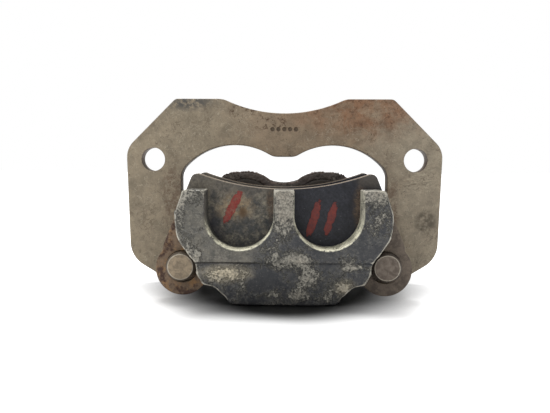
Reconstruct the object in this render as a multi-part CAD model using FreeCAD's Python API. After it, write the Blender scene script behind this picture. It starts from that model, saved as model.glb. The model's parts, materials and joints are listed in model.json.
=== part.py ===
"""Twin-piston floating brake caliper for a light off-road vehicle, on its steel carrier plate.

Frame, in millimetres. X runs along the line of the two mounting holes, and +Y runs inboard,
along the guide pins and the pistons. +Z points to the wheel hub. The origin lies midway
between the two mounting holes, on the plate's inboard face, which bolts to the knuckle.

How it works: the carrier plate is bolted to the knuckle and holds two guide pins. Both brake pads
hang on the outboard ends of the pins. The caliper body floats on the inboard ends, in bushed lugs
behind rubber boots. The pistons push the inner pad, and the body slides back and pulls the outer
pad in with its fingers.
"""

import FreeCAD
import Part

import math
import os

Vector = FreeCAD.Vector
ALONG_X = Vector(1, 0, 0)
ALONG_Y = Vector(0, 1, 0)
SIDES = {"left": -1, "right": 1}

# ---- driving dimensions ------------------------------------------------------------------------

HOLE_SPACING = 117.0          # mounting holes, centre to centre
HOLE_R = 5.25                 # clearance for M10
PLATE_T = 6.35                # quarter-inch steel
PLATE_FRONT = -PLATE_T

DISC_R = 120.0                # the brake disc that the caliper straddles
DISC_CENTRE_Z = 78.5
DISC_SLOT = 6.0               # gap between the pads at rest, for a 5 mm disc
DISC_Y = -22.5                # the disc's middle plane

PIN_X = 40.6
PIN_Z = -42.3
PIN_R = 5.8                   # outboard length, which carries the pads
PIN_TAIL_R = 5.0              # inboard length, on which the body floats
PIN_FRONT = -40.2
PIN_BACK = 28.0
PIN_EDGE = 0.9

BORE_X = 17.0
BORE_Z = -21.3
PISTON_R = 12.7
BORE_R = PISTON_R + 0.04

FRICTION_T = 5.0
BACKING_T = 5.0
RUN_GAP = 0.05                # between pieces that only rest against each other

OUTER_FACE = DISC_Y - DISC_SLOT / 2                          # outer pad's friction face
INNER_FACE = DISC_Y + DISC_SLOT / 2
OUTER_BACK = OUTER_FACE - FRICTION_T - BACKING_T             # outer pad's steel back
INNER_BACK = INNER_FACE + FRICTION_T + BACKING_T

FINGER_T = 11.5
FINGER_BACK = OUTER_BACK - RUN_GAP
FINGER_FRONT = FINGER_BACK - FINGER_T

HOUSING_FRONT = -7.0
HOUSING_BACK = 32.0
BORE_BACK = 26.0
CYLINDER_R = 15.8             # at the mouth; the casting tapers to the rear
CYLINDER_REAR_R = 15.2
CYLINDER_EDGE = 3.0
SHOULDER_X = 22.2              # the casting is thicker at each cylinder's outer hub-side corner
SHOULDER_Z = -14.9
SHOULDER_R = 9.0
SHOULDER_BACK = 27.0
BODY_BOTTOM = -56.5
WEB_TOP = -11.0               # bottom of the saddle between the cylinders
SADDLE_R = 20.0
SADDLE_HALF = 8.5
WEB_LOW = -34.3               # inside the foot
HEEL_TOP = -38.0              # the housing's bottom rear corner is cut away from here
HEEL_RUN = 13.0
OVERALL_HALF = 50.0           # safely wider than the body
BRIDGE_HALF = 24.8
BRIDGE_GAP = 3.0              # between the disc's rim and the inside of the bridge

LUG_R = 9.5
LUG_FRONT = 11.0
LUG_BACK = 32.0
LUG_BORE_BACK = 30.0
LUG_EDGE = 2.0
SNOUT_R = 8.0                 # collar on the lug that the boot grips
SNOUT_FRONT = 8.5
BUSH_R = 6.6

PORT_FACE = 37.0              # sealing face of the hose port
PORT_R = 4.5                  # wall of the M10 x 1 thread
PORT_DEPTH = 9.5
PORT_BOSS_R = 8.5
PASSAGE_Y = 22.0              # cross drilling that joins the two bores, along X
PASSAGE_R = 2.0
BLEED_FACE = 41.0             # boss at the drilling's right end
BLEED_BOSS_R = 6.3
PLUG_BOSS_R = 5.5


# ---- small helpers -----------------------------------------------------------------------------

def rounded_face(corners, y=0.0):
    """A flat face in the XZ plane at y. Each corner is (x, z) or (x, z, radius)."""
    points = [Vector(c[0], y, c[1]) for c in corners]
    radii = [c[2] if len(c) > 2 else 0.0 for c in corners]
    edges = []
    ends = []
    for i, point in enumerate(points):
        back = (points[i - 1] - point).normalize()
        ahead = (points[(i + 1) % len(points)] - point).normalize()
        if radii[i] == 0:
            ends.append((point, point))
            continue
        half = back.getAngle(ahead) / 2
        reach = radii[i] / math.tan(half)
        inward = (back + ahead).normalize()
        start = point + back * reach
        end = point + ahead * reach
        middle = point + inward * (radii[i] / math.sin(half) - radii[i])
        edges.append(Part.Arc(start, middle, end).toShape())
        ends.append((start, end))
    for i in range(len(points)):
        start = ends[i][1]
        end = ends[(i + 1) % len(points)][0]
        if (end - start).Length > 1e-6:
            edges.append(Part.makeLine(start, end))
    return Part.Face(Part.Wire(Part.__sortEdges__(edges)))


def mirrored(half):
    """A closed outline from its right half, listed from the top middle to the bottom middle."""
    other = [(-c[0],) + tuple(c[1:]) for c in reversed(half) if c[0] > 0]
    return list(half) + other


def prism(corners, y0, y1):
    return rounded_face(corners, y0).extrude(Vector(0, y1 - y0, 0))


def rod(x, z, radius, y0, y1):
    return Part.makeCylinder(radius, y1 - y0, Vector(x, y0, z), ALONG_Y)


def box(x0, x1, y0, y1, z0, z1):
    return Part.makeBox(x1 - x0, y1 - y0, z1 - z0, Vector(x0, y0, z0))


def turned(profile, x, z):
    """A solid turned about the axis along Y through (x, z). The profile lists (radius, y)."""
    points = [Vector(r, y, 0) for r, y in profile]
    face = Part.Face(Part.makePolygon(points + points[:1]))
    solid = face.revolve(Vector(0, 0, 0), ALONG_Y, 360)
    solid.translate(Vector(x, 0, z))
    return solid


def edges_on(shape, y):
    """The edges that lie wholly in the plane at y."""
    return [e for e in shape.Edges
            if abs(e.BoundBox.YMin - y) < 1e-3 and abs(e.BoundBox.YMax - y) < 1e-3]


def upright_edges(shape, spots):
    """The edges along Y that pass through one of the (x, z) spots."""
    found = []
    for e in shape.Edges:
        b = e.BoundBox
        flat = b.XLength < 1e-3 and b.ZLength < 1e-3
        if flat and any(math.hypot(b.XMin - x, b.ZMin - z) < 0.3 for x, z in spots):
            found.append(e)
    return found


# ---- carrier plate and guide pins --------------------------------------------------------------

HUB_ARC_R = 62.0              # relief over the hub, and where its lowest point lies
HUB_ARC_LOW = 20.6
HUB_LIP_R = 9.0               # rounding where the relief meets the top edge
PLATE_TOP = 26.9
PLATE_EDGE = 0.5
LEG_TOP = -10.0               # above this the window is shaped by its lobes
WINDOW_X = 46.0
LOBE_X = 22.0                 # the window's two lobes clear the twin cylinders
LOBE_Z = -23.4
LOBE_R = 30.0
LOBE_CORNER_R = 8.0
TONGUE_Z = 1.4                # lowest point of the plate between the lobes
TONGUE_HALF = 6.0
TONGUE_ROOT_R = 7.0
MARK_Z = 13.6                 # row of centre-punch dots
MARK_COUNT = 5
MARK_PITCH = 2.6
MARK_R = 1.2
MARK_DEPTH = 0.6


def plate_outline():
    half = [
        (0, PLATE_TOP),
        (48.4, PLATE_TOP, 3.0),
        (70.5, 4.8, 10.0),
        (69.2, -44.3, 12.0),
        (50.0, -56.0, 12.0),
        (27.5, -56.0, 13.0),
        (27.5, -37.0, 8.0),
        (WINDOW_X, -27.0, 10.0),
        (WINDOW_X, LEG_TOP),
        (0, LEG_TOP),
    ]
    return mirrored(half)


def window_cutter(y0, y1):
    lobes = [rod(side * LOBE_X, LOBE_Z, LOBE_R, y0, y1) for side in SIDES.values()]
    middle = box(-TONGUE_HALF, TONGUE_HALF, y0, y1, LOBE_Z, TONGUE_Z)
    upper = box(-WINDOW_X, WINDOW_X, y0, y1, LEG_TOP - 2, PLATE_TOP)
    cutter = lobes[0].fuse([lobes[1], middle]).common(upper).removeSplitter()
    corner_z = LOBE_Z + math.sqrt(LOBE_R ** 2 - (WINDOW_X - LOBE_X) ** 2)
    root_x = LOBE_X - math.sqrt(LOBE_R ** 2 - (TONGUE_Z - LOBE_Z) ** 2)
    corners = upright_edges(cutter, [(-WINDOW_X, corner_z), (WINDOW_X, corner_z)])
    roots = upright_edges(cutter, [(-root_x, TONGUE_Z), (root_x, TONGUE_Z)])
    return cutter.makeFillet(LOBE_CORNER_R, corners).makeFillet(TONGUE_ROOT_R, roots)


def punch_mark(i):
    x = (i - (MARK_COUNT - 1) / 2) * MARK_PITCH
    return Part.makeSphere(MARK_R, Vector(x, PLATE_FRONT - MARK_R + MARK_DEPTH, MARK_Z))


def bracket_plate():
    front, back = PLATE_FRONT - 1, 1
    plate = prism(plate_outline(), PLATE_FRONT, 0)
    hub_arc = rod(0, HUB_ARC_LOW + HUB_ARC_R, HUB_ARC_R, front, back)
    plate = plate.cut([hub_arc, window_cutter(front, back)])
    lip_x = math.sqrt(HUB_ARC_R ** 2 - (HUB_ARC_LOW + HUB_ARC_R - PLATE_TOP) ** 2)
    lips = upright_edges(plate, [(-lip_x, PLATE_TOP), (lip_x, PLATE_TOP)])
    plate = plate.makeFillet(HUB_LIP_R, lips)
    plate = plate.makeFillet(PLATE_EDGE, edges_on(plate, PLATE_FRONT) + edges_on(plate, 0))
    cuts = [punch_mark(i) for i in range(MARK_COUNT)]
    for side in SIDES.values():
        cuts.append(rod(side * HOLE_SPACING / 2, 0, HOLE_R, front, back))
        cuts.append(rod(side * PIN_X, PIN_Z, PIN_R, front, back))
    return plate.cut(cuts)


def guide_pin(side):
    collar_r, collar_t = 7.6, 1.5
    groove_r = PIN_TAIL_R - 0.5
    profile = [
        (0, PIN_FRONT),
        (PIN_R - PIN_EDGE, PIN_FRONT),
        (PIN_R, PIN_FRONT + PIN_EDGE),
        (PIN_R, PLATE_FRONT - collar_t),
        (collar_r, PLATE_FRONT - collar_t),
        (collar_r, PLATE_FRONT),
        (PIN_R, PLATE_FRONT),
        (PIN_R, 0),
        (PIN_TAIL_R, 0),
        (PIN_TAIL_R, 1.0),
        (groove_r, 1.0),
        (groove_r, 3.0),
        (PIN_TAIL_R, 3.0),
        (PIN_TAIL_R, PIN_BACK - PIN_EDGE),
        (PIN_TAIL_R - PIN_EDGE, PIN_BACK),
        (0, PIN_BACK),
    ]
    return turned(profile, side * PIN_X, PIN_Z)


# ---- caliper body ------------------------------------------------------------------------------

SCOOP_R = 13.05               # reliefs in the fingers, which the boring bar passes through
FINGER_TOP = -11.6
STEP_Z = -39.4                # the raised finger face ends here
STEP_T = 0.8
FACE_LEAN = 2.4               # inboard lean of the face below the step, at the bottom
FINGER_EDGE = 0.9
PIN_RELIEF_R = 7.1            # hollow in the fingers' sides, round the pin


def finger_outline():
    half = [
        (0, FINGER_TOP),
        (38.4, FINGER_TOP, 2.0),
        (41.7, -21.5, 10.0),
        (40.8, -30.0, 8.0),
        (36.0, -36.9),
        (37.5, -40.0),
        (34.6, -41.9),
        (31.2, -48.2, 1.5),
        (27.0, -49.0, 4.0),
        (22.4, -53.3, 4.0),
        (20.7, -56.1, 2.0),
        (12.0, BODY_BOTTOM),
        (0, BODY_BOTTOM),
    ]
    return mirrored(half)


def scoop(side):
    x = side * BORE_X
    y0, y1 = FINGER_FRONT - 1, FINGER_BACK + 1
    slot = box(x - SCOOP_R, x + SCOOP_R, y0, y1, BORE_Z, FINGER_TOP + 5)
    return rod(x, BORE_Z, SCOOP_R, y0, y1).fuse(slot).removeSplitter()


def lower_face_wedge():
    """Sets the face below the step back and leans it inboard towards the bottom."""
    low = BODY_BOTTOM - 1
    ahead = FINGER_FRONT - 1
    return across_body([
        (ahead, STEP_Z),
        (FINGER_FRONT + STEP_T, STEP_Z),
        (FINGER_FRONT + STEP_T + FACE_LEAN, low),
        (ahead, low),
    ])


def across_body(profile):
    """A prism right across the body in X, from a (y, z) profile."""
    points = [Vector(-OVERALL_HALF, y, z) for y, z in profile]
    return Part.Face(Part.makePolygon(points + points[:1])).extrude(Vector(2 * OVERALL_HALF, 0, 0))


def fingers():
    block = prism(finger_outline(), FINGER_FRONT, FINGER_BACK)
    cuts = [scoop(side) for side in SIDES.values()]
    for side in SIDES.values():
        cuts.append(rod(side * PIN_X, PIN_Z, PIN_RELIEF_R, FINGER_FRONT - 1, FINGER_BACK + 1))
    block = block.cut(cuts).removeSplitter()
    block = block.makeFillet(FINGER_EDGE, edges_on(block, FINGER_FRONT))
    return block.cut(lower_face_wedge())


def bridge():
    """The arch over the disc's rim, from the fingers to the cylinders."""
    half = [
        (0, -38.0),
        (BRIDGE_HALF, -38.0),
        (BRIDGE_HALF, -50.3, 3.0),
        (22.4, -53.3, 4.0),
        (20.7, -56.1, 2.0),
        (12.0, BODY_BOTTOM),
        (0, BODY_BOTTOM),
    ]
    arch = prism(mirrored(half), FINGER_BACK - 1, HOUSING_FRONT + 1)
    rim = rod(0, DISC_CENTRE_Z, DISC_R + BRIDGE_GAP, FINGER_BACK, HOUSING_FRONT)
    return arch.cut(rim)


def housing():
    """Twin cylinders with a web between them and a foot that runs into the bridge."""
    parts = []
    for side in SIDES.values():
        start = Vector(side * BORE_X, HOUSING_FRONT, BORE_Z)
        length = HOUSING_BACK - HOUSING_FRONT
        cylinder = Part.makeCone(CYLINDER_R, CYLINDER_REAR_R, length, start, ALONG_Y)
        parts.append(cylinder.makeFillet(CYLINDER_EDGE, edges_on(cylinder, HOUSING_BACK)))
        shoulder = rod(side * SHOULDER_X, SHOULDER_Z, SHOULDER_R, HOUSING_FRONT, SHOULDER_BACK)
        parts.append(shoulder.makeFillet(CYLINDER_EDGE, edges_on(shoulder, SHOULDER_BACK)))
    web_back = HOUSING_BACK - CYLINDER_EDGE
    web = box(-SADDLE_HALF, SADDLE_HALF, HOUSING_FRONT, web_back, WEB_LOW, WEB_TOP + 2)
    web = web.cut(rod(0, WEB_TOP + SADDLE_R, SADDLE_R, HOUSING_FRONT - 1, web_back + 1))
    foot_half = [
        (0, BORE_Z),
        (19.0, BORE_Z),
        (BRIDGE_HALF, -36.0, 6.0),
        (BRIDGE_HALF, -50.3, 3.0),
        (22.4, -53.3, 4.0),
        (20.7, -56.1, 2.0),
        (12.0, BODY_BOTTOM),
        (0, BODY_BOTTOM),
    ]
    foot = prism(mirrored(foot_half), HOUSING_FRONT, HOUSING_BACK - CYLINDER_EDGE / 2)
    heel = across_body([
        (HOUSING_BACK + 1, HEEL_TOP),
        (HOUSING_BACK + 1, BODY_BOTTOM - 1),
        (HOUSING_BACK - HEEL_RUN, BODY_BOTTOM - 1),
    ])
    return web.fuse(parts + [foot.cut(heel)])


def lug(side):
    """A bushed ear that floats on the inboard end of a guide pin."""
    x = side * PIN_X
    barrel = rod(x, PIN_Z, LUG_R, LUG_FRONT, LUG_BACK)
    barrel = barrel.makeFillet(LUG_EDGE, edges_on(barrel, LUG_BACK))
    snout = rod(x, PIN_Z, SNOUT_R, SNOUT_FRONT, LUG_FRONT + 1)
    arm = [
        (side * 12.0, -25.0),
        (side * 43.0, -33.2),
        (side * 43.0, -51.4),
        (side * 12.0, -54.0),
    ]
    arm_front, arm_back = LUG_FRONT + 2, LUG_BACK - 5
    return barrel.fuse([snout, prism(arm, arm_front, arm_back)])


def crosswise(radius, x0, x1):
    """A cylinder along the cross drilling's axis."""
    return Part.makeCylinder(radius, x1 - x0, Vector(x0, PASSAGE_Y, BORE_Z), ALONG_X)


PLUG_R = 3.0
PLUG_DEPTH = 3.0
PLUG_FACE = -(BORE_X + CYLINDER_R + 1.5)
BLEED_HOLE_R = 3.5
BLEED_CONE = 34.5             # where the bleed screw's tip seats
SEALS = {
    # name: (front y, back y, outer radius)
    "pressure": (-1.0, 2.0, 14.4),
    "dust": (-5.6, -3.7, 14.2),
}


def caliper_body():
    root = BORE_X + BORE_R + 0.8          # the side bosses start inside the cylinders' walls
    bosses = [
        rod(0, BORE_Z, PORT_BOSS_R, BORE_BACK - 2, PORT_FACE),
        crosswise(BLEED_BOSS_R, root, BLEED_FACE),
        crosswise(PLUG_BOSS_R, PLUG_FACE, -root),
    ]
    lugs = [lug(side) for side in SIDES.values()]
    body = fingers().fuse([bridge(), housing()] + lugs + bosses)
    cuts = []
    for side in SIDES.values():
        x = side * BORE_X
        cuts.append(rod(x, BORE_Z, BORE_R, HOUSING_FRONT - 1, BORE_BACK))
        for front, back, radius in SEALS.values():
            cuts.append(rod(x, BORE_Z, radius, front, back))
        cuts.append(rod(side * PIN_X, PIN_Z, BUSH_R, SNOUT_FRONT - 1, LUG_BORE_BACK))
    cuts.append(rod(0, BORE_Z, PORT_R, PORT_FACE - PORT_DEPTH, PORT_FACE + 1))
    cuts.append(rod(0, BORE_Z, PASSAGE_R, PASSAGE_Y, PORT_FACE - PORT_DEPTH + 1))
    cuts.append(crosswise(PASSAGE_R, PLUG_FACE, BLEED_CONE + 1))
    cuts.append(crosswise(PLUG_R, PLUG_FACE - 1, PLUG_FACE + PLUG_DEPTH))
    cuts.append(crosswise(BLEED_HOLE_R, BLEED_CONE, BLEED_FACE + 1))
    return body.cut(cuts).removeSplitter()


# ---- pieces inside the body --------------------------------------------------------------------

def piston(side):
    """A cup, open towards the pad."""
    wall, floor_t, length, edge = 3.2, 5.5, 26.0, 0.6
    front = INNER_BACK + RUN_GAP
    back = front + length
    profile = [
        (PISTON_R - wall + edge, front),
        (PISTON_R - edge, front),
        (PISTON_R, front + edge),
        (PISTON_R, back - edge),
        (PISTON_R - edge, back),
        (0, back),
        (0, back - floor_t),
        (PISTON_R - wall - 1, back - floor_t),
        (PISTON_R - wall, back - floor_t - 1),
        (PISTON_R - wall, front + edge),
    ]
    return turned(profile, side * BORE_X, BORE_Z)


def seal(side, kind):
    """A square-cut ring in its groove."""
    front, back, radius = SEALS[kind]
    inner = PISTON_R + 0.02
    outer = radius - 0.05
    profile = [(inner, front + 0.05), (outer, front + 0.05), (outer, back - 0.05), (inner, back - 0.05)]
    return turned(profile, side * BORE_X, BORE_Z)


def guide_bush(side):
    front, back, running = SNOUT_FRONT + 0.1, 27.0, 0.04
    inner = PIN_TAIL_R + running
    profile = [(inner, front), (BUSH_R, front), (BUSH_R, back), (inner, back)]
    return turned(profile, side * PIN_X, PIN_Z)


def pin_boot(side):
    """Bellows from the groove in the pin to the snout of the lug."""
    crest, root, wall, pitch = 9.7, 7.6, 1.1, 2.0
    first = 4.0
    outside = [(6.3, 0.9), (6.3, 2.9)]
    inside = [(5.1, 0.9), (5.1, 1.05), (4.55, 1.05), (4.55, 2.95), (5.1, 2.95), (5.1, 3.3)]
    for i in range(3):
        y = first + i * pitch
        outside.append((crest, y))
        inside.append((crest - wall, y + 0.15))
        if i < 2:
            outside.append((root, y + pitch / 2))
            inside.append((root - wall, y + pitch / 2))
    outside.append((9.4, 8.7))
    outside.append((9.4, LUG_FRONT - 0.1))
    inside.append((SNOUT_R + 0.05, 8.4))
    inside.append((SNOUT_R + 0.05, LUG_FRONT - 0.1))
    return turned(outside + inside[::-1], side * PIN_X, PIN_Z)


def passage_plug():
    dish_r, dish_depth = 6.0, 0.6
    dish = Part.makeSphere(dish_r, Vector(PLUG_FACE - dish_r + dish_depth, PASSAGE_Y, BORE_Z))
    return crosswise(PLUG_R, PLUG_FACE, PLUG_FACE + PLUG_DEPTH).cut(dish)


# ---- bleed screw and its cap -------------------------------------------------------------------

HEX_FLATS = 8.0
HEX_START = BLEED_FACE + 0.4
HEX_END = HEX_START + 5.0
NIPPLE_R = 3.0
NIPPLE_END = HEX_END + 7.5


def turned_crosswise(profile):
    """A solid turned about the cross drilling's axis. The profile lists (radius, x)."""
    points = [Vector(x, PASSAGE_Y, BORE_Z + r) for r, x in profile]
    face = Part.Face(Part.makePolygon(points + points[:1]))
    return face.revolve(Vector(0, PASSAGE_Y, BORE_Z), ALONG_X, 360)


def hexagon():
    corner = HEX_FLATS / math.sqrt(3)
    points = []
    for i in range(6):
        angle = math.radians(60 * i)
        y = PASSAGE_Y + corner * math.cos(angle)
        z = BORE_Z + corner * math.sin(angle)
        points.append(Vector(HEX_START, y, z))
    return Part.Face(Part.makePolygon(points + points[:1])).extrude(Vector(HEX_END - HEX_START, 0, 0))


def bleed_screw():
    shank_r = BLEED_HOLE_R - 0.06
    neck_r = NIPPLE_R - 0.4
    shank = turned_crosswise([
        (0, BLEED_CONE + 0.5),
        (1.4, BLEED_CONE + 0.5),
        (shank_r, BLEED_CONE + 2.6),
        (shank_r, HEX_START),
        (0, HEX_START),
    ])
    nipple = turned_crosswise([
        (0, HEX_END - 0.5),
        (neck_r, HEX_END - 0.5),
        (neck_r, HEX_END + 1.8),
        (NIPPLE_R, HEX_END + 2.2),
        (NIPPLE_R, HEX_END + 3.6),
        (NIPPLE_R - 0.9, NIPPLE_END),
        (0, NIPPLE_END),
    ])
    drilling = crosswise(1.0, BLEED_CONE + 4, NIPPLE_END + 1)
    return shank.fuse([hexagon(), nipple]).cut(drilling).removeSplitter()


def bleed_cap():
    rim = HEX_END + 0.15
    top = NIPPLE_END + 2.5
    hollow_r = NIPPLE_R + 0.05
    return turned_crosswise([
        (hollow_r, rim),
        (4.9, rim),
        (4.9, rim + 1.6),
        (4.3, rim + 2.0),
        (4.3, top - 1.2),
        (3.6, top),
        (0, top),
        (0, top - 1.4),
        (hollow_r, top - 2.4),
    ])


# ---- brake pads --------------------------------------------------------------------------------

EAR_R = 10.7
EAR_HOLE_R = 6.45
EAR_DROP = 0.9                # the ear's rounding is centred this far below its hole
PAD_SAG = EAR_HOLE_R - PIN_R - RUN_GAP     # how far the pad hangs below the pins' centres
PAD_DIP = -11.7               # lowest point of the pad's hub-side edge
PAD_ARC_R = 99.0
PAD_TIP_R = 2.6               # rounding of the two hub-side corners
PAD_TIP_LOW = -8.0            # only those corners are above this

LINING_INSET = 2.0            # from the backing's hub-side edge
LINING_RIM = 1.0              # from the disc's rim
DUST_SLOT_W = 2.2
DUST_SLOT_DEPTH = 3.4
RAMP_X = 29.5                 # the face falls away beyond this
RAMP_RISE = 6.0               # fall at OVERALL_HALF


def pad_backing(y0, y1):
    """Steel back with an ear for each pin and a hollow hub-side edge."""
    ear_z = PIN_Z - PAD_SAG
    half = [
        (0, -4.0),
        (35.5, -4.0),
        (50.4, -39.6, 6.0),
        (PIN_X, ear_z, 0),
        (29.2, -41.0, 0),
        (0, -41.0),
    ]
    plate = prism(mirrored(half), y0, y1)
    for side in SIDES.values():
        plate = plate.fuse(rod(side * PIN_X, ear_z - EAR_DROP, EAR_R, y0, y1))
    trims = [rod(0, PAD_DIP + PAD_ARC_R, PAD_ARC_R, y0 - 1, y1 + 1)]
    for side in SIDES.values():
        trims.append(rod(side * PIN_X, ear_z, EAR_HOLE_R, y0 - 1, y1 + 1))
    plate = plate.cut(trims).removeSplitter()
    tips = [e for e in plate.Edges
            if e.BoundBox.XLength < 1e-3 and e.BoundBox.ZLength < 1e-3 and e.BoundBox.ZMin > PAD_TIP_LOW]
    return plate.makeFillet(PAD_TIP_R, tips)


def pad_friction(y0, y1, face):
    """Moulded lining, with a dust slot down the middle and ramped ends on its face side."""
    half = [
        (0, -9.0),
        (31.5, -9.0, 2.5),
        (37.0, -36.0, 2.5),
        (0, -44.0),
    ]
    lining = prism(mirrored(half), y0, y1)
    lining = lining.cut(rod(0, PAD_DIP + PAD_ARC_R, PAD_ARC_R + LINING_INSET, y0 - 1, y1 + 1))
    lining = lining.common(rod(0, DISC_CENTRE_Z, DISC_R - LINING_RIM, y0 - 1, y1 + 1))
    inward = 1 if face == y0 else -1
    slot = sorted([face - inward, face + inward * DUST_SLOT_DEPTH])
    lining = lining.cut(box(-DUST_SLOT_W / 2, DUST_SLOT_W / 2, slot[0], slot[1], -OVERALL_HALF, 0))
    for side in SIDES.values():
        ramp = [
            Vector(side * RAMP_X, face, -OVERALL_HALF),
            Vector(side * OVERALL_HALF, face + inward * RAMP_RISE, -OVERALL_HALF),
            Vector(side * OVERALL_HALF, face - inward, -OVERALL_HALF),
            Vector(side * RAMP_X, face - inward, -OVERALL_HALF),
        ]
        ramp = Part.Face(Part.makePolygon(ramp + ramp[:1]))
        lining = lining.cut(ramp.extrude(Vector(0, 0, OVERALL_HALF)))
    return lining


# ---- output ------------------------------------------------------------------------------------

def build():
    nodes = {
        "bracket_plate": bracket_plate(),
        "caliper_body": caliper_body(),
        "passage_plug": passage_plug(),
        "bleed_screw": bleed_screw(),
        "bleed_cap": bleed_cap(),
        "outer_pad_backing": pad_backing(OUTER_BACK, OUTER_BACK + BACKING_T),
        "outer_pad_friction": pad_friction(OUTER_FACE - FRICTION_T, OUTER_FACE, OUTER_FACE),
        "inner_pad_backing": pad_backing(INNER_BACK - BACKING_T, INNER_BACK),
        "inner_pad_friction": pad_friction(INNER_FACE, INNER_FACE + FRICTION_T, INNER_FACE),
    }
    for name, side in SIDES.items():
        nodes["guide_pin_" + name] = guide_pin(side)
        nodes["guide_bush_" + name] = guide_bush(side)
        nodes["pin_boot_" + name] = pin_boot(side)
        nodes["piston_" + name] = piston(side)
        nodes["pressure_seal_" + name] = seal(side, "pressure")
        nodes["dust_seal_" + name] = seal(side, "dust")
    return nodes


os.makedirs("parts", exist_ok=True)
for node, shape in build().items():
    if not shape.isValid() or len(shape.Solids) != 1:
        raise ValueError(f"{node}: valid {shape.isValid()}, {len(shape.Solids)} solids")
    shape.Solids[0].exportStep(f"parts/{node}.step")
    print(f"{node:22s} {shape.Volume / 1000:8.2f} cm3")
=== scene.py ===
"""Looks of a used twin-piston brake caliper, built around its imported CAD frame.

Blender units are metres. Sizes in this script are written in millimetres and multiplied by MM.
X runs along the mounting holes, +Y inboard, +Z to the wheel hub.
"""

import json
import math

import bpy
import numpy as np
from mathutils import Matrix, Vector, noise


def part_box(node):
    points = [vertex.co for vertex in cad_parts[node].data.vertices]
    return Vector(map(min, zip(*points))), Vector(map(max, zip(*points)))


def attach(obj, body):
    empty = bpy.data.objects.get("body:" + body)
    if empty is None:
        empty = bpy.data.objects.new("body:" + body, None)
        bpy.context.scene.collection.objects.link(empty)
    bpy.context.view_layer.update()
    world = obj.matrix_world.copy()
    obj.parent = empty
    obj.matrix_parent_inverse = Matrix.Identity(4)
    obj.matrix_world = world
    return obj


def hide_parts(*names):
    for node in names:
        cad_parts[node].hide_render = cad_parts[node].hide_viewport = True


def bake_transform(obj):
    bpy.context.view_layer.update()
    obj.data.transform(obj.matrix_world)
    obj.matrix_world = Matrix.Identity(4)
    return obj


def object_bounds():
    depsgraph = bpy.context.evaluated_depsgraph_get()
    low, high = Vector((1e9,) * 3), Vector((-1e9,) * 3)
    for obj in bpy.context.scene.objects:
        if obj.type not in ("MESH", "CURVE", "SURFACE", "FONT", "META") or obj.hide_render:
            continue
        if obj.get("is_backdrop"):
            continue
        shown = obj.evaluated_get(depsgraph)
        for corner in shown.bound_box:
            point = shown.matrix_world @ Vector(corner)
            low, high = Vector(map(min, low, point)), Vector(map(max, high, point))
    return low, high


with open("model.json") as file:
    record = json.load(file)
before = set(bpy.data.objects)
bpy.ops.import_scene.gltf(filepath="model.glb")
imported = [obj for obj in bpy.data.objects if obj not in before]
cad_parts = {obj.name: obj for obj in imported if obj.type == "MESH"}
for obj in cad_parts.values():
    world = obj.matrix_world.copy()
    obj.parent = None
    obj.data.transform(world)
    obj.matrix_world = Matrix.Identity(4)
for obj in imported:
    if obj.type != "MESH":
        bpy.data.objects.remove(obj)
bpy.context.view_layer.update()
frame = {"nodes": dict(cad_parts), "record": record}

MM = 0.001
SIDES = ("left", "right")
NODES = frame["nodes"]


# ---- places and sizes, in mm ----

def box_mm(node):
    low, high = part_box(node)
    return low / MM, high / MM


def middle_mm(node):
    low, high = box_mm(node)
    return (low + high) / 2


PIN = {side: middle_mm("guide_pin_" + side) for side in SIDES}
BORE = {side: middle_mm("piston_" + side) for side in SIDES}
BORE_R = (box_mm("piston_left")[1].x - box_mm("piston_left")[0].x) / 2
SCOOP_R = BORE_R + 0.35       # the two round notches in the fingers
FINGER_FRONT = box_mm("caliper_body")[0].y
FINGER_BACK = box_mm("outer_pad_backing")[0].y
PAD_FRONT = FINGER_BACK
PLATE_FRONT = box_mm("bracket_plate")[0].y
PORT_FACE = box_mm("caliper_body")[1].y
BLEED_FACE = box_mm("caliper_body")[1].x
PLUG_FACE = box_mm("passage_plug")[0].x
DRILLING_Y = middle_mm("passage_plug").y

# Places inside a node, which its box doesn't give.
MARKS_Z = 13.6                # the plate's row of centre-punch dots
STEP_Z = -39.4                # the fingers step back a little below this
HOUSING_FRONT = -7            # the cylinders' mouths
BORE_BACK = 26                # the bores' closed ends
LUG_BORE_R = 6.6
LUG_BORE_FRONT = 7
LUG_BORE_BACK = 30
PORT_R = 4.5
THREAD_PITCH = 1

CAST_VOXEL = 0.42             # grid that the casting is remeshed on
LINING_VOXEL = 0.4
# Brush marks on the outer pad's back: centre (x, z), lean in degrees, length and width.
BRUSH_MARKS = (
    ((-20.5, -19), 27, 14.5, 3.3),
    ((12, -23), 17, 15, 3.2),
    ((18.6, -23.6), 17, 14, 3),
)
CAMERA_AT = (-0.44, -257.24, -1.55)
CAMERA_DOWN = 4.4             # degrees below level
CAMERA_TURN = 0.8
CAMERA_ROLL = 0.3
CAMERA_LENS = 36.7            # for a sensor 36 mm wide


def place(name, data):
    """A new object in the scene."""
    thing = bpy.data.objects.new(name, data)
    bpy.context.scene.collection.objects.link(thing)
    return thing


# ---- small tools for node materials ----

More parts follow.
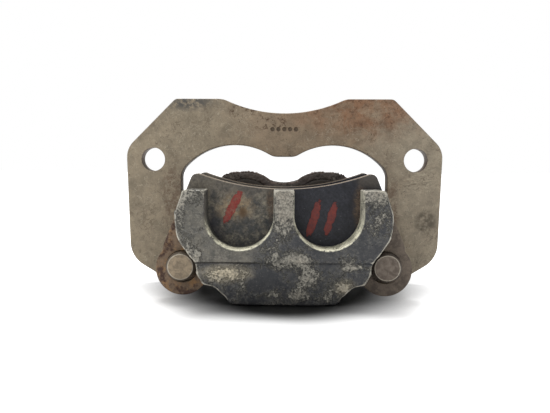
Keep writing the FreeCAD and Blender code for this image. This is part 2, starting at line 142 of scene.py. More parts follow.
class Shader:
    """A material under construction. Each call adds nodes and returns the socket to use next.

    Sizes are in millimetres. Colours are linear (r, g, b). colour is the surface's colour so far.
    """

    def __init__(self, name):
        self.material = bpy.data.materials.new(name)
        self.material.use_nodes = True
        self.tree = self.material.node_tree
        self.tree.nodes.clear()
        output = self.add("OutputMaterial")
        self.surface = self.add("BsdfPrincipled")
        self.tree.links.new(self.surface.outputs[0], output.inputs[0])
        coordinates = self.add("TexCoord")
        self.place = self.vector("SCALE", coordinates.outputs["Object"], scale=1 / MM)
        self.facing = coordinates.outputs["Normal"]
        self.normal = None
        self.colour = None
        self.wander = self.noise(5, detail=4, rough=0.6, shift=31)

    def add(self, kind):
        return self.tree.nodes.new("ShaderNode" + kind)

    def put(self, socket, value):
        if isinstance(value, bpy.types.NodeSocket):
            self.tree.links.new(value, socket)
        elif isinstance(value, (tuple, list)) and len(value) == 3 and socket.type == "RGBA":
            socket.default_value = (*value, 1)
        else:
            socket.default_value = value

    def vector(self, operation, a, b=None, scale=None):
        node = self.add("VectorMath")
        node.operation = operation
        self.put(node.inputs[0], a)
        if b is not None:
            self.put(node.inputs[1], b)
        if scale is not None:
            self.put(node.inputs["Scale"], scale)
        return node.outputs["Value" if operation in ("LENGTH", "DOT_PRODUCT") else "Vector"]

    def sum(self, operation, a, b=0):
        node = self.add("Math")
        node.operation = operation
        self.put(node.inputs[0], a)
        self.put(node.inputs[1], b)
        return node.outputs[0]

    def chain(self, operation, values):
        total = values[0]
        for value in values[1:]:
            total = self.sum(operation, total, value)
        return total

    def times(self, *values):
        return self.chain("MULTIPLY", values)

    def plus(self, *values):
        return self.chain("ADD", values)

    def most(self, *values):
        return self.chain("MAXIMUM", values)

    def less(self, value):
        """One minus value."""
        return self.sum("SUBTRACT", 1, value)

    def step(self, value, low, high):
        """Rises smoothly from 0 at low to 1 at high."""
        node = self.add("MapRange")
        node.interpolation_type = "SMOOTHSTEP"
        self.put(node.inputs["Value"], value)
        self.put(node.inputs["From Min"], low)
        self.put(node.inputs["From Max"], high)
        return node.outputs[0]

    def fall(self, value, low, high):
        """Falls smoothly from 1 at low to 0 at high."""
        return self.less(self.step(value, low, high))

    def swing(self, value, reach):
        """Maps 0..1 to a swing of reach about zero."""
        return self.times(self.plus(value, -0.5), reach)

    def range(self, value, low, high):
        """Maps 0..1 to low..high."""
        return self.plus(self.times(value, high - low), low)

    def noise(self, size, detail=3, rough=0.55, warp=0, stretch=(1, 1, 1), shift=0):
        """Fractal noise from 0 to 1, with features about size mm across."""
        node = self.add("TexNoise")
        spot = self.vector("MULTIPLY", self.place, tuple(stretch))
        self.put(node.inputs["Vector"], self.vector("ADD", spot, (shift, 2 * shift, 3 * shift)))
        values = {"Scale": 1 / size, "Detail": detail, "Roughness": rough, "Distortion": warp}
        for name, value in values.items():
            node.inputs[name].default_value = value
        return node.outputs["Fac"]

    def cells(self, size, feature="F1", warp=0):
        node = self.add("TexVoronoi")
        node.feature = feature
        spot = self.place
        if warp:
            wander = self.add("TexNoise")
            self.put(wander.inputs["Vector"], self.place)
            wander.inputs["Scale"].default_value = 1 / size
            offset = self.vector("SCALE", wander.outputs["Color"], scale=warp * size)
            spot = self.vector("ADD", self.place, offset)
        self.put(node.inputs["Vector"], spot)
        node.inputs["Scale"].default_value = 1 / size
        return node.outputs["Distance"]

    def ring(self, size, warp):
        """Thin curly loops, about size mm across."""
        away = self.sum("ABSOLUTE", self.plus(self.cells(size, warp=warp), -0.42))
        return self.fall(away, 0.04, 0.15)

    def lines(self, size, width, shift, stretch=(1, 1, 1)):
        """Thin wandering lines: hairline scratches and stain edges."""
        field = self.noise(size, rough=0.6, warp=0.4, stretch=stretch, shift=shift)
        return self.fall(self.sum("ABSOLUTE", self.plus(field, -0.5)), 0, width)

    def mix(self, share, a, b):
        node = self.add("Mix")
        node.data_type = "RGBA"
        self.put(node.inputs[0], share)
        self.put(node.inputs[6], a)
        self.put(node.inputs[7], b)
        return node.outputs[2]

    def blend(self, share, a, b):
        """A number between a and b."""
        return self.plus(a, self.times(share, self.sum("SUBTRACT", b, a)))

    def over(self, colour, tint, *shares):
        """Lays tint over colour, as strongly as the shares multiplied together."""
        return self.mix(self.times(*shares), colour, tint)

    def lay(self, tint, *shares):
        """Lays tint over the surface's colour so far."""
        self.colour = self.over(self.colour, tint, *shares)

    def shade(self, colour, amount):
        """Multiplies a colour by a number."""
        return self.vector("SCALE", colour, scale=amount)

    def vary(self, colour, field, low, high):
        """Multiplies a colour by low where field is 0 and by high where it is 1."""
        return self.shade(colour, self.range(field, low, high))

    def axis(self, i, source=None):
        node = self.add("SeparateXYZ")
        self.put(node.inputs[0], source or self.place)
        return node.outputs[i]

    def spot(self, centre, radii, soft=0.6):
        """1 near centre, falling to 0 at the ellipsoid's surface. A radius of None is endless."""
        reach = tuple(0 if r is None else 1 / r for r in radii)
        away = self.vector("MULTIPLY", self.vector("SUBTRACT", self.place, tuple(centre)), reach)
        away = self.plus(self.vector("LENGTH", away), self.swing(self.wander, 0.5))
        return self.fall(away, 1 - soft, 1)

    def stroke(self, centre, angle, length, width, ragged):
        """A brush mark in the XZ plane, leaning by angle in degrees from +Z towards +X."""
        moved = self.vector("SUBTRACT", self.place, (centre[0], 0, centre[1]))
        lean = math.radians(angle)
        along = self.vector("DOT_PRODUCT", moved, (math.sin(lean), 0, math.cos(lean)))
        across = self.vector("DOT_PRODUCT", moved, (math.cos(lean), 0, -math.sin(lean)))
        u = self.sum("DIVIDE", self.sum("ABSOLUTE", along), length / 2)
        v = self.sum("DIVIDE", self.sum("ABSOLUTE", across), width / 2)
        away = self.plus(self.sum("POWER", u, 4), self.sum("POWER", v, 2.5), ragged)
        return self.fall(away, 0.85, 1.1)

    def pin_distance(self):
        """How far the surface is from the nearer guide pin's axis, in mm."""
        x = self.plus(self.sum("ABSOLUTE", self.axis(0)), -PIN["right"].x)
        z = self.plus(self.axis(2), -PIN["right"].z)
        return self.sum("SQRT", self.plus(self.times(x, x), self.times(z, z)))

    def attribute(self, name):
        node = self.add("Attribute")
        node.attribute_name = name
        return node.outputs["Fac"]

    def edges(self, radius):
        """How near a sharp edge the surface is, from 0 to about 1."""
        node = self.add("Bevel")
        node.samples = 6
        node.inputs["Radius"].default_value = radius * MM
        plain = self.add("NewGeometry").outputs["Normal"]
        agree = self.vector("DOT_PRODUCT", node.outputs[0], plain)
        return self.step(self.less(agree), 0.01, 0.25)

    def bump(self, height, depth):
        """Adds relief: height 0..1 stands for depth millimetres."""
        node = self.add("Bump")
        node.inputs["Distance"].default_value = depth * MM
        node.inputs["Strength"].default_value = 1
        self.put(node.inputs["Height"], height)
        if self.normal is not None:
            self.put(node.inputs["Normal"], self.normal)
        self.normal = node.outputs[0]

    def finish(self, rough, metal=0, shine=0.5):
        values = {"Base Color": self.colour, "Roughness": rough}
        values.update({"Metallic": metal, "Specular IOR Level": shine})
        if self.normal is not None:
            values["Normal"] = self.normal
        for name, value in values.items():
            self.put(self.surface.inputs[name], value)
        return self.material


# ---- materials ----

def plate_ground(s, tone):
    """The plate's dull face, with grime and hairlines. The hairlines stay clear of the punch dots."""
    drift = s.swing(s.noise(26, detail=5, warp=0.6), 40)
    across = s.plus(s.axis(0), drift)
    s.colour = s.mix(s.step(across, -38, -8), (0.274, 0.227, 0.16), (0.276, 0.211, 0.143))
    s.lay((0.3, 0.254, 0.187), s.step(across, 36, 56))
    s.colour = s.shade(s.colour, tone)
    grime = s.noise(3.4, detail=8, rough=0.8, shift=27)
    grime = s.times(s.step(grime, 0.52, 0.62), s.step(s.noise(17, shift=28), 0.4, 0.58))
    s.lay((0.115, 0.088, 0.062), grime, 0.5)
    patchy = s.step(s.noise(12, detail=5, rough=0.6, shift=29), 0.48, 0.64)
    clear = s.less(s.spot((0, 0, MARKS_Z + 2), (18, None, 8.5), soft=0.3))
    dark = s.times(s.lines(3.2, 0.034, 8), patchy, clear, 0.6)
    s.lay((0.105, 0.076, 0.053), dark)
    bright = s.times(s.lines(4.5, 0.014, 36), s.less(patchy), clear, 0.7)
    s.lay((0.42, 0.37, 0.28), bright)


def plate_stains(s, tone, bloom):
    """The rust bloom to the upper right, brown inner legs, a dark spot and a dark upper rim."""
    s.lay(s.shade((0.235, 0.112, 0.056), tone), bloom, 0.8)
    left_leg = s.spot((-50, 0, -17), (7, None, 23), soft=0.7)
    right_leg = s.spot((48.5, 0, -20), (4.5, None, 16), soft=0.7)
    broken = s.step(s.noise(2.6, detail=7, rough=0.75), 0.42, 0.6)
    s.lay((0.125, 0.078, 0.052), s.most(left_leg, right_leg), broken, 0.7)
    ragged = s.noise(3, detail=6, rough=0.7)
    spot = s.times(s.spot((63.5, 0, -27.5), (6.2, None, 7.2), soft=0.5), s.step(ragged, 0.3, 0.6))
    s.lay((0.082, 0.068, 0.049), spot, 0.85)
    rim = s.times(s.spot((-43, 0, 25.2), (19, None, 5.2), soft=0.9), s.step(ragged, 0.38, 0.54))
    s.lay((0.08, 0.077, 0.072), rim, 0.95)


def plate_pits(s, bloom):
    """Dark specks and rust that have bitten into the plate. Returns where they are."""
    specks = s.step(s.noise(0.9, rough=0.65, shift=7), 0.64, 0.69)
    specks = s.times(specks, s.step(s.noise(9, detail=5, rough=0.6, shift=3), 0.44, 0.58))
    rust = s.step(s.noise(2, detail=7, rough=0.78, shift=13), 0.51, 0.6)
    by_marks = s.spot((-6, 0, 16.5), (12, None, 5.5), soft=0.7)
    by_edge = s.spot((-18, 0, 21.5), (11, None, 5), soft=0.7)
    rust = s.times(rust, s.most(by_marks, by_edge, s.times(bloom, 0.8)))
    s.lay((0.06, 0.04, 0.028), specks, 0.85)
    s.lay((0.07, 0.033, 0.018), rust, 0.85)
    return s.most(specks, rust)


def plate_scrapes(s):
    """Bright flecks, bright and dark scrapes on the right leg, and painted shade in the punch dots."""
    flecks = s.step(s.noise(1, detail=4, rough=0.7, shift=19), 0.64, 0.72)
    s.lay((0.44, 0.39, 0.3), flecks, 0.45)
    zone = s.spot((60, 0, -7), (12, None, 12), soft=0.8)
    across = (0.5, 1, 1.8)
    s.lay((0.44, 0.385, 0.285), s.lines(3, 0.04, 8, across), zone, 0.7)
    s.lay((0.12, 0.09, 0.06), s.lines(3, 0.034, 47, across), zone, 0.65)
    # Painted shade: darker inside the punch dots.
    dot_shade_depth = s.step(s.axis(1), PLATE_FRONT + 0.06, PLATE_FRONT + 0.35)
    dots = s.spot((0, PLATE_FRONT, MARKS_Z), (9, 2, 3), soft=0.1)
    s.lay((0.075, 0.055, 0.038), dot_shade_depth, dots, 0.8)


def plate_sides(s, tone):
    """The plate's cut sides are darker and rusty, and paler inside the window."""
    side = s.fall(s.sum("ABSOLUTE", s.axis(1, s.facing)), 0.35, 0.8)
    cut = s.mix(s.noise(1.6, detail=5), (0.06, 0.05, 0.042), (0.16, 0.13, 0.098))
    brown = s.step(s.noise(5, detail=7, rough=0.72, warp=0.5, shift=53), 0.42, 0.6)
    cut = s.over(cut, s.shade((0.125, 0.066, 0.036), tone), brown, 0.75)
    window = s.spot((0, 0, -12), (46, None, 24), soft=0.1)
    cut = s.over(cut, (0.4, 0.335, 0.245), window, 0.8)
    s.lay(cut, side, 0.85)


def carrier_steel():
    """Plated plate steel, dulled to a warm grey, with specks, stains, scratches and a rust bloom."""
    s = Shader("carrier_steel")
    smudge = s.noise(7, detail=8, rough=0.7, warp=0.3, shift=21)
    grain = s.noise(0.6, rough=0.6)
    tone = s.times(s.range(s.step(smudge, 0.3, 0.7), 0.76, 1.18), s.range(grain, 0.8, 1.2))
    bloom = s.spot((34, 0, 21), (44, None, 16), soft=0.8)
    bloom = s.times(bloom, s.step(s.noise(8, detail=7, rough=0.65, warp=0.8), 0.26, 0.62))
    plate_ground(s, tone)
    plate_stains(s, tone, bloom)
    pits = plate_pits(s, bloom)
    plate_scrapes(s)
    plate_sides(s, tone)
    worn = s.step(s.plus(s.edges(0.35), s.swing(smudge, 1.4)), 0.4, 0.8)
    s.lay((0.105, 0.084, 0.064), worn, 0.6)
    s.bump(s.plus(grain, s.times(smudge, 0.8)), 0.06)
    s.bump(s.less(pits), 0.07)
    return s.finish(s.range(smudge, 0.4, 0.74), metal=0.3, shine=0.4)


def pin_steel():
    """Turned steel pin, tarnished: the left one tan, the right one darker. The end's rim carries a painted
    highlight, with painted shade beyond it.
    """
    s = Shader("pin_steel")
    tarnish = s.noise(2.8, detail=6, rough=0.65, warp=0.8)
    grain = s.noise(0.6, detail=5, rough=0.75)
    left = s.fall(s.axis(0), -5, 5)
    patch = s.step(tarnish, 0.35, 0.65)
    pale = s.mix(patch, (0.185, 0.145, 0.1), (0.335, 0.265, 0.18))
    dark = s.mix(patch, (0.1, 0.078, 0.062), (0.19, 0.156, 0.125))
    s.colour = s.vary(s.mix(left, dark, pale), grain, 0.75, 1.25)
    spots = s.step(s.noise(1.4, detail=4, rough=0.7, shift=5), 0.62, 0.7)
    s.lay((0.06, 0.042, 0.03), spots, 0.6)
    reach = s.plus(s.pin_distance(), s.swing(tarnish, 0.5))
    # Painted shade: darker outside the end's rim, as in the gap round the pin.
    painted_gap_shade = s.step(reach, 4.95, 5.2)
    s.lay((0.05, 0.038, 0.03), painted_gap_shade, 0.7)
    # Painted highlight: a bright ring on the end's rim.
    rim = s.fall(s.sum("ABSOLUTE", s.plus(reach, -4.95)), 0.08, 0.26)
    s.lay((0.55, 0.5, 0.41), rim, s.range(tarnish, 0.3, 1.1))
    rust = s.step(s.noise(2, detail=5, rough=0.7, shift=4), 0.5, 0.66)
    back = s.step(s.axis(1), PAD_FRONT, PAD_FRONT + 4)
    s.lay((0.095, 0.045, 0.022), rust, back, 0.85)
    s.bump(grain, 0.04)
    s.bump(tarnish, 0.08)
    return s.finish(s.range(grain, 0.4, 0.62), metal=0.45)


def casting_paint(s, fine, coarse, pale, rear):
    """What is left of the black paint: filmed over, dusty to the left, specked where it lifts."""
    s.colour = s.mix(s.noise(9, detail=5), (0.02, 0.021, 0.025), (0.035, 0.037, 0.042))
    film = s.step(s.plus(s.noise(5, detail=8, rough=0.78, shift=5), s.times(pale, 0.16)), 0.46, 0.76)
    s.lay((0.105, 0.102, 0.094), film, 0.6)
    wander = s.swing(coarse, 8)
    dusty = s.fall(s.plus(s.axis(0), wander), -15, -8)
    above_step = s.step(s.axis(2), STEP_Z - 0.6, STEP_Z + 0.4)
    above_lugs = s.step(s.plus(s.axis(2), wander), -46, -32)
    behind = s.step(s.axis(1), FINGER_BACK, FINGER_BACK + 4)
    dusty = s.times(dusty, s.blend(behind, above_step, above_lugs), s.less(rear))
    haze = s.mix(s.step(s.noise(3, detail=7, rough=0.7, shift=17), 0.3, 0.7),
                 (0.068, 0.066, 0.056), (0.175, 0.16, 0.129))
    s.lay(s.vary(haze, fine, 0.7, 1.3), dusty, 0.9)
    smears = s.lines(3, 0.05, 44, stretch=(1, 1, 2))
    s.lay((0.27, 0.25, 0.21), smears, dusty, s.step(fine, 0.42, 0.6), 0.7)
    grains = s.step(s.noise(0.6, rough=0.7, shift=9), 0.64, 0.72)
    s.lay((0.27, 0.255, 0.21), grains, s.range(film, 0.25, 0.7))
    scattered = s.plus(s.noise(1.2, detail=6, rough=0.8, shift=63), s.times(pale, 0.16))
    s.lay((0.15, 0.147, 0.135), s.step(scattered, 0.55, 0.66), 0.6)


def casting_crust(s, fine, coarse, rings, depth):
    """Grey corrosion under the lifted paint, with pale curls."""
    crust = s.mix(s.step(fine, 0.36, 0.62), (0.072, 0.07, 0.065), (0.21, 0.2, 0.17))
    crust = s.shade(crust, s.times(s.range(s.step(coarse, 0.3, 0.7), 0.65, 1.28), s.range(depth, 0.6, 1.2)))
    return s.over(crust, (0.46, 0.435, 0.37), rings, s.range(fine, 0.3, 1.3), 0.9)


def casting_bleach(s, fine, broken, depth):
    """Chalky white where the corrosion is strongest, and clay dried on two patches below."""
    chalk = s.vary((0.35, 0.32, 0.265), s.step(fine, 0.3, 0.7), 0.3, 1.5)
    chalk = s.over(chalk, (0.09, 0.084, 0.072), s.lines(1.4, 0.05, 38), 0.5)
    bleached = s.times(s.step(broken, 0.95, 1.45), s.range(depth, 0.45, 1))
    s.lay(chalk, bleached, 0.85)
    left = s.spot((-22.5, FINGER_FRONT, -43.8), (13.5, 9, 5.2), soft=0.9)
    right = s.spot((23.5, FINGER_FRONT, -49), (6, 9, 5), soft=0.9)
    ragged = s.step(s.noise(3.2, detail=7, rough=0.75, shift=2), 0.28, 0.5)
    clay = s.vary((0.6, 0.525, 0.385), s.step(fine, 0.3, 0.7), 0.5, 1.4)
    s.lay(clay, s.most(left, s.times(right, 0.55)), ragged, 0.92)


def casting_scoops(s, fine, coarse):
    """Bright machined walls in the fingers' notches, with a painted highlight low down and painted shade
    towards the pad.
    """
    wall = s.attribute("machined")
    metal = s.mix(s.step(s.plus(s.axis(0), s.times(coarse, 8)), -8, 14),
                  (0.15, 0.145, 0.13), (0.5, 0.48, 0.38))
    # Painted highlight: the walls' lower part is lighter.
    low = s.fall(s.axis(2), BORE["left"].z - 8, BORE["left"].z + 1)
    metal = s.over(metal, (0.8, 0.77, 0.59), low)
    lanes = s.noise(1.3, detail=5, rough=0.75, stretch=(0.35, 1.8, 0.35), shift=66)
    lanes = s.blend(s.step(s.axis(0), -5, 5), s.range(s.step(lanes, 0.34, 0.6), 0.35, 1.15), 1)
    metal = s.shade(metal, s.times(lanes, s.range(fine, 0.6, 1.4)))
    # Painted shade: the walls darken towards the pad.
    deep = s.plus(s.axis(1), s.swing(coarse, 5), s.times(s.axis(0), -0.1))
    clean_and_unshaded = s.fall(deep, FINGER_FRONT + 6.5, FINGER_FRONT + 10)
    clean_and_unshaded = s.times(clean_and_unshaded, s.step(s.plus(coarse, fine), 0.78, 0.98))
    s.lay((0.06, 0.058, 0.054), wall, 0.8)
    s.lay(metal, wall, clean_and_unshaded)


def painted_step_shadow(s, coarse):
    """Painted shadow: the thin dark line at the fingers' step, on the left."""
    step_shadow = s.sum("ABSOLUTE", s.plus(s.axis(2), -STEP_Z, s.swing(coarse, 0.5)))
    step_shadow = s.times(s.fall(step_shadow, 0.15, 0.42), s.fall(s.axis(0), -12, -8))
    return s.times(step_shadow, s.fall(s.axis(1), FINGER_BACK - 2, FINGER_BACK - 1))


def casting_soot_and_shade(s, rear):
    """Brake dust baked on the cylinders' mouths, partly standing for painted shade there, and painted shade
    in the hollows.
    """
    soot_and_shade = s.mix(s.noise(1.2, detail=6, rough=0.75), (0.017, 0.012, 0.01), (0.135, 0.092, 0.069))
    soot_and_shade = s.vary(soot_and_shade, s.step(s.axis(0), 10, -10), 1.1, 1.4)
    # Brake dust on the cylinders, and on their mouths painted shade as well.
    s.lay(soot_and_shade, rear, 0.92)
    # Painted shade: darker in the casting's hollows.
    hollow = s.step(s.attribute("hollow"), 0.25, 0.8)
    s.lay((0.02, 0.016, 0.013), hollow, 0.8)


def casting_cuts(s, coarse, cut, thread):
    """Machined sealing faces and the port's thread."""
    turned = s.noise(0.5, detail=2, rough=0.6, shift=51)
    faced = s.mix(s.step(coarse, 0.4, 0.62), (0.27, 0.255, 0.225), (0.15, 0.138, 0.115))
    s.lay(s.vary(faced, turned, 0.7, 1.3), cut, 0.9)
    s.lay((0.12, 0.115, 0.105), thread, 0.8)


def body_casting():
    """Black paint that corrosion has lifted: pale curly blisters, bare bright edges, dirt."""
    s = Shader("body_casting")
    pale = s.attribute("pale")
    rear = s.attribute("crusted_and_shaded")
    cut = s.attribute("spotfaced")
    thread = s.attribute("threaded")
    fine = s.noise(0.75, detail=6, rough=0.75)
    coarse = s.noise(2.4, detail=6, rough=0.7, warp=0.9)
    rings = s.most(s.ring(2.6, 0.35), s.times(s.ring(1.4, 0.5), 0.8))
    rings = s.times(rings, s.step(coarse, 0.36, 0.52))
    depth = s.step(s.noise(4.5, detail=5, rough=0.65, shift=71), 0.36, 0.62)
    broken = s.plus(pale, s.swing(fine, 2.2), s.swing(coarse, 0.9))
    lifted = s.step(broken, 0.4, 0.84)

    casting_paint(s, fine, coarse, pale, rear)
    s.lay(casting_crust(s, fine, coarse, rings, depth), lifted, 0.92)
    curls = s.times(rings, s.step(broken, 0.34, 0.6), s.step(fine, 0.46, 0.58))
    s.lay((0.32, 0.302, 0.26), curls, 0.6)
    casting_bleach(s, fine, broken, depth)
    casting_scoops(s, fine, coarse)
    bare = s.step(s.plus(s.attribute("edge"), s.swing(coarse, 0.8), s.swing(fine, 0.4)), 0.16, 0.42)
    s.lay(s.vary((0.52, 0.49, 0.41), fine, 0.6, 1.35), bare, 0.85)
    step_shadow = painted_step_shadow(s, coarse)
    # Painted shadow line at the fingers' step.
    s.lay((0.016, 0.015, 0.015), step_shadow, 0.85)
    casting_soot_and_shade(s, rear)
    casting_cuts(s, coarse, cut, thread)

    groove = s.sum("SINE", s.times(s.axis(1), 2 * math.pi / THREAD_PITCH))
    s.bump(s.times(thread, s.range(groove, 0.5, 1)), 0.35)
    relief = s.plus(s.times(fine, 0.6), s.times(rings, 0.3), s.times(coarse, 0.4))
    relief = s.times(relief, s.less(s.times(s.most(cut, thread), 0.9)))
    raised = s.plus(s.times(lifted, 0.6), s.times(s.step(pale, 0.25, 0.85), 0.4))
    s.bump(s.times(relief, s.range(raised, 0.2, 1)), 0.38)
    s.bump(lifted, 0.07)
    s.bump(s.less(step_shadow), 0.25)
    rough = s.blend(lifted, s.range(coarse, 0.34, 0.56), 0.85)
    return s.finish(s.most(rough, s.times(rear, 0.9)), shine=0.45)


def pad_paint(s, left, cloud, fine):
    """Olive dirt on the left half, blue-black paint on the right."""
    broad = s.noise(12, detail=4, shift=14)
    shade = s.step(s.plus(cloud, s.times(broad, 0.6)), 0.68, 0.94)
    olive = s.mix(shade, (0.04, 0.041, 0.041), (0.19, 0.168, 0.128))
    oily = s.spot((-29, PAD_FRONT, -28), (8, 6, 9), soft=0.9)
    olive = s.over(olive, (0.024, 0.024, 0.032), oily, 0.8)
    paint = s.mix(s.step(cloud, 0.35, 0.65), (0.009, 0.01, 0.015), (0.021, 0.022, 0.03))
    s.colour = s.vary(s.mix(left, paint, olive), s.step(fine, 0.3, 0.7), 0.5, 1.6)
    pits = s.step(s.noise(1.5, detail=4, rough=0.7, shift=33), 0.62, 0.68)
    s.lay((0.022, 0.022, 0.024), left, pits, 0.7)


def pad_stains(s, left, fine, blot):
    """A rusty blot on the left, rust beside the fingers, light splashes and worn upper corners."""
    s.lay(s.vary((0.3, 0.22, 0.13), fine, 0.5, 1.5), blot, 0.85)
    core = s.spot((-16.3, PAD_FRONT, -21), (2.6, 6, 3.2), soft=0.8)
    s.lay((0.09, 0.048, 0.018), core, 0.9)
    outer = s.spot((30.5, PAD_FRONT, -19), (4, 6, 13))
    inner = s.spot((-5.2, PAD_FRONT, -15.5), (2.4, 6, 11))
    ragged = s.step(s.noise(2, detail=6, rough=0.75, shift=9), 0.32, 0.46)
    flakes = s.step(s.noise(0.7, detail=5, rough=0.8, shift=19), 0.36, 0.66)
    flakes = s.mix(flakes, (0.036, 0.024, 0.017), (0.15, 0.1, 0.062))
    s.lay(flakes, s.most(outer, inner), ragged, 0.85)
    splash = s.step(s.noise(0.8, detail=2, rough=0.6, shift=61), 0.7, 0.75)
    s.lay((0.17, 0.175, 0.185), splash, s.less(left), 0.8)
    corner = s.times(left, s.step(s.axis(2), -17, -11), 0.6)
    corner = s.most(corner, s.times(s.spot((34, PAD_FRONT, -8), (7, 6, 6), soft=0.8), 0.8))
    s.lay(s.vary((0.092, 0.08, 0.066), fine, 0.6, 1.4), corner)


def pad_ears(s, left, fine, ears):
    """The bare ears: orange rust with dark scabs on the left, brown on the right."""
    outward = s.step(s.pin_distance(), 6.5, 10.5)
    scab = s.plus(s.noise(4, detail=8, rough=0.72, shift=1), s.times(outward, 0.1))
    scab = s.step(scab, 0.54, 0.66)
    warm = s.step(s.noise(2.6, detail=6, rough=0.7, shift=35), 0.48, 0.66)
    rust = s.mix(warm, (0.195, 0.136, 0.09), (0.31, 0.18, 0.084))
    rust = s.over(rust, (0.052, 0.026, 0.02), scab, 0.9)
    brown = s.over((0.16, 0.128, 0.1), (0.08, 0.063, 0.051), scab, 0.7)
    s.lay(s.vary(s.mix(left, brown, rust), fine, 0.6, 1.4), ears)


def pad_edges(s, fine):
    """Rust on the upward faces, and edges worn to bare steel."""
    top = s.step(s.axis(2, s.facing), 0.5, 0.8)
    rim = s.mix(s.noise(1.6, detail=5, rough=0.7), (0.11, 0.072, 0.045), (0.36, 0.29, 0.21))
    s.lay(rim, top, 0.85)
    edge = s.step(s.plus(s.edges(0.4), s.swing(fine, 1.2)), 0.4, 0.8)
    s.lay((0.22, 0.185, 0.14), edge, 0.55)


def brush_marks(s):
    """Three plain brush marks on the outer pad's back: one on the left, two on the right."""
    ragged = s.plus(s.swing(s.noise(1.3, detail=6, rough=0.75, shift=2), 2.6),
                    s.swing(s.noise(4, shift=12), 2.4))
    marks = [s.stroke(centre, lean, length, width, ragged) for centre, lean, length, width in BRUSH_MARKS]
    return s.times(s.most(*marks), s.fall(s.axis(1), PAD_FRONT + 0.3, PAD_FRONT + 0.5))


def pad_backing():
    """Painted pad steel: olive dirt to the left, blue-black paint to the right, rusty ears."""
    s = Shader("pad_backing")
    left = s.fall(s.plus(s.axis(0), s.swing(s.noise(9), 6)), -3, 4)
    cloud = s.noise(3.6, detail=8, rough=0.78)
    fine = s.noise(0.8, detail=6, rough=0.75)
    blot = s.spot((-19, PAD_FRONT, -18.5), (11, 6, 8.5), soft=0.85)
    blot = s.times(blot, s.step(s.noise(2.6, detail=6, rough=0.7, shift=6), 0.36, 0.58))
    ears = s.step(s.plus(s.sum("ABSOLUTE", s.axis(0)), s.times(s.axis(2), -0.35)), 43, 46)
    pad_paint(s, left, cloud, fine)
    pad_stains(s, left, fine, blot)
    pad_ears(s, left, fine, ears)
    pad_edges(s, fine)

    mark = brush_marks(s)
    front = s.step(s.times(s.axis(1, s.facing), -1), 0.5, 0.8)
    thin = s.range(s.step(s.noise(1.8, detail=5, rough=0.7, shift=15), 0.3, 0.6), 0.5, 1)
    red = s.mix(left, (0.17, 0.026, 0.019), (0.245, 0.03, 0.024))
    s.lay(s.vary(red, fine, 0.65, 1.35), mark, front, thin)
    s.bump(s.plus(fine, s.times(cloud, 0.8)), 0.09)
    s.bump(s.times(s.most(ears, blot), s.noise(1.6, detail=6, rough=0.75, shift=1)), 0.3)
    s.bump(mark, 0.1)
    rough = s.most(s.range(cloud, 0.42, 0.66), s.times(ears, 0.8))
    return s.finish(rough, shine=0.4)


def pad_friction():
    """Sintered lining: dark, open-grained, with bright metal specks."""
    s = Shader("pad_friction")
    grain = s.noise(0.6, detail=4, rough=0.75)
    chips = s.cells(0.9)
    s.colour = s.mix(grain, (0.04, 0.035, 0.031), (0.15, 0.125, 0.1))
    bright = s.times(s.fall(chips, 0.06, 0.16), s.step(s.noise(3), 0.4, 0.6))
    s.lay((0.46, 0.4, 0.3), bright)
    s.bump(s.plus(grain, s.times(chips, 0.5)), 0.15)
    return s.finish(s.range(grain, 0.6, 0.95), metal=s.times(bright, 0.8))


def rubber(name, dust):
    """Black rubber with road dust lying in its folds."""
    s = Shader(name)
    film = s.step(s.noise(2.4, detail=5, rough=0.7, warp=0.5), 0.4, 0.72)
    up = s.range(s.step(s.axis(2, s.facing), -0.2, 0.9), 0.35, 1)
    s.colour = s.mix(s.times(film, up, dust), (0.018, 0.017, 0.016), (0.17, 0.15, 0.12))
    s.bump(s.noise(0.5), 0.03)
    s.bump(film, 0.03)
    return s.finish(s.range(film, 0.52, 0.85), shine=0.35)


def plated_steel(name, low, high, rust_share, dust_and_shade_front=None):
    """Machined steel with dull plating, bright corners and rust in its pits.

    In front of y = dust_and_shade_front it is caked with brake dust, so dark that it also stands for painted
    shade.
    """
    s = Shader(name)
    tone = s.noise(2.5, detail=5, warp=0.6)
    grain = s.noise(0.45, detail=4, rough=0.7)
    s.colour = s.vary(s.mix(tone, low, high), grain, 0.8, 1.2)
    rust = s.step(s.noise(1.5, detail=6, rough=0.7, shift=3), 0.66 - 0.2 * rust_share, 0.72)
    s.lay((0.11, 0.05, 0.025), rust, rust_share)
    s.lay(high, s.edges(0.35), 0.6)
    dust = 0
    if dust_and_shade_front is not None:
        # Brake dust and painted shade: the front is darkened.
        ragged = s.swing(s.noise(1.5, detail=5, rough=0.7), 3)
        dust = s.fall(s.plus(s.axis(1), ragged), dust_and_shade_front - 0.8, dust_and_shade_front + 0.8)
        caked_dust_and_shade = s.mix(s.noise(0.9, detail=5, rough=0.75), (0.008, 0.006, 0.005), (0.04, 0.029, 0.022))
        s.lay(caked_dust_and_shade, dust, 0.95)
    s.bump(grain, 0.03)
    s.bump(s.less(rust), 0.06)
    dull = s.most(s.times(rust, 0.85), dust)
    return s.finish(s.most(s.range(tone, 0.3, 0.52), s.times(dust, 0.9)), metal=s.less(dull))


def bearing_plastic():
    """Black plastic with a smear of grease."""
    s = Shader("guide_bush")
    grease = s.noise(1.8, warp=0.8)
    s.colour = s.mix(grease, (0.055, 0.052, 0.046), (0.12, 0.105, 0.075))
    s.bump(grease, 0.04)
    return s.finish(s.range(grease, 0.25, 0.5))


